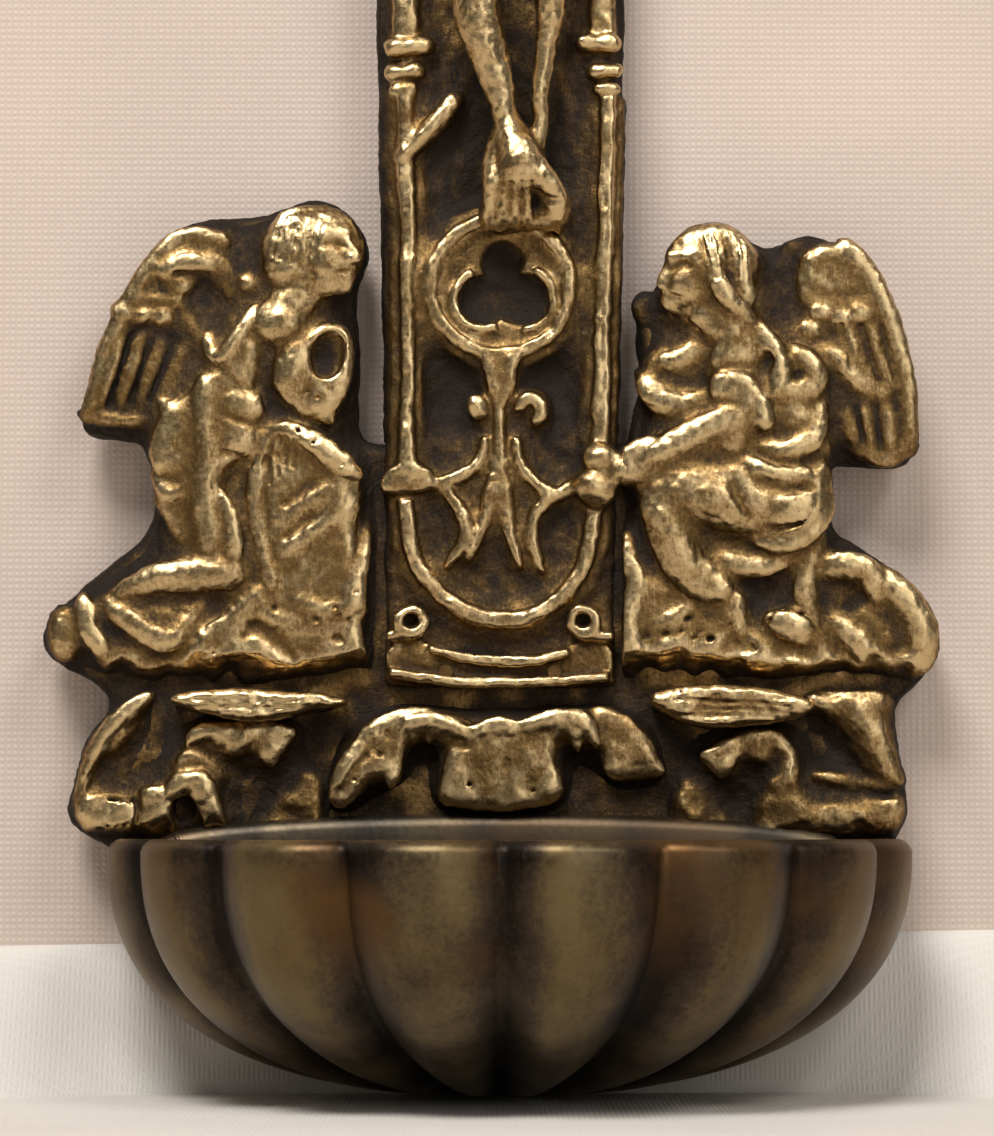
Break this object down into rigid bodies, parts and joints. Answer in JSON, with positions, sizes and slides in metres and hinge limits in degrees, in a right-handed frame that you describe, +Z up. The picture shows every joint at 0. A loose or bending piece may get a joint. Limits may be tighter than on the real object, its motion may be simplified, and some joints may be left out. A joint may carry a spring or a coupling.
{
  "type": "holy water stoup",
  "caption": "Wall-hung cast brass stoup: a gadrooned half bowl under a relief plate with kneeling angels and a crucifix, hung by a loose ring.",
  "frame": {"origin": "on the flat wall face of the back plate, on its centre line, at the height of the bowl's rim", "axes": "+Y points into the wall, the relief and the bowl face -Y, +Z is up"},
  "size_m": [0.0904, 0.0424, 0.2001],
  "materials": {
    "relief": "cast brass, worn bright on the high places and dark brown in the hollows",
    "ground": "dark brown patinated cast brass",
    "bowl": "smooth brown patinated cast brass",
    "fixing": "turned brass, dull"
  },
  "bodies": {
    "stoup": {"base_plate": "ground", "cross": "relief", "corpus": "relief", "left_angel": "relief", "right_angel": "relief", "cross_pedestal": "relief", "left_ledge": "relief", "right_ledge": "relief", "acanthus": "relief", "left_scroll": "relief", "right_scroll": "relief", "bowl": "bowl", "left_hand_nail": "fixing", "right_hand_nail": "fixing", "left_angel_screw_upper": "fixing", "left_angel_screw_lower": "fixing", "right_angel_screw_upper": "fixing", "right_angel_screw_lower": "fixing", "pedestal_rivet_left": "fixing", "pedestal_rivet_right": "fixing", "cross_rivet": "fixing", "left_ledge_rivet": "fixing", "right_ledge_rivet": "fixing", "left_scroll_rivet": "fixing", "right_scroll_rivet": "fixing", "acanthus_rivet": "fixing", "corpus_screw": "fixing", "feet_screw": "fixing", "bowl_screw_left": "fixing", "bowl_screw_right": "fixing"},
    "ring": {"hanging_ring": "fixing"}
  },
  "joints": [
    {"name": "ring_swing", "type": "hinge", "parent": "stoup", "child": "ring", "pos_m": [0, -0.0024, 0.163], "axis": [1, 0, 0], "range_deg": [0, 150]}
  ]
}
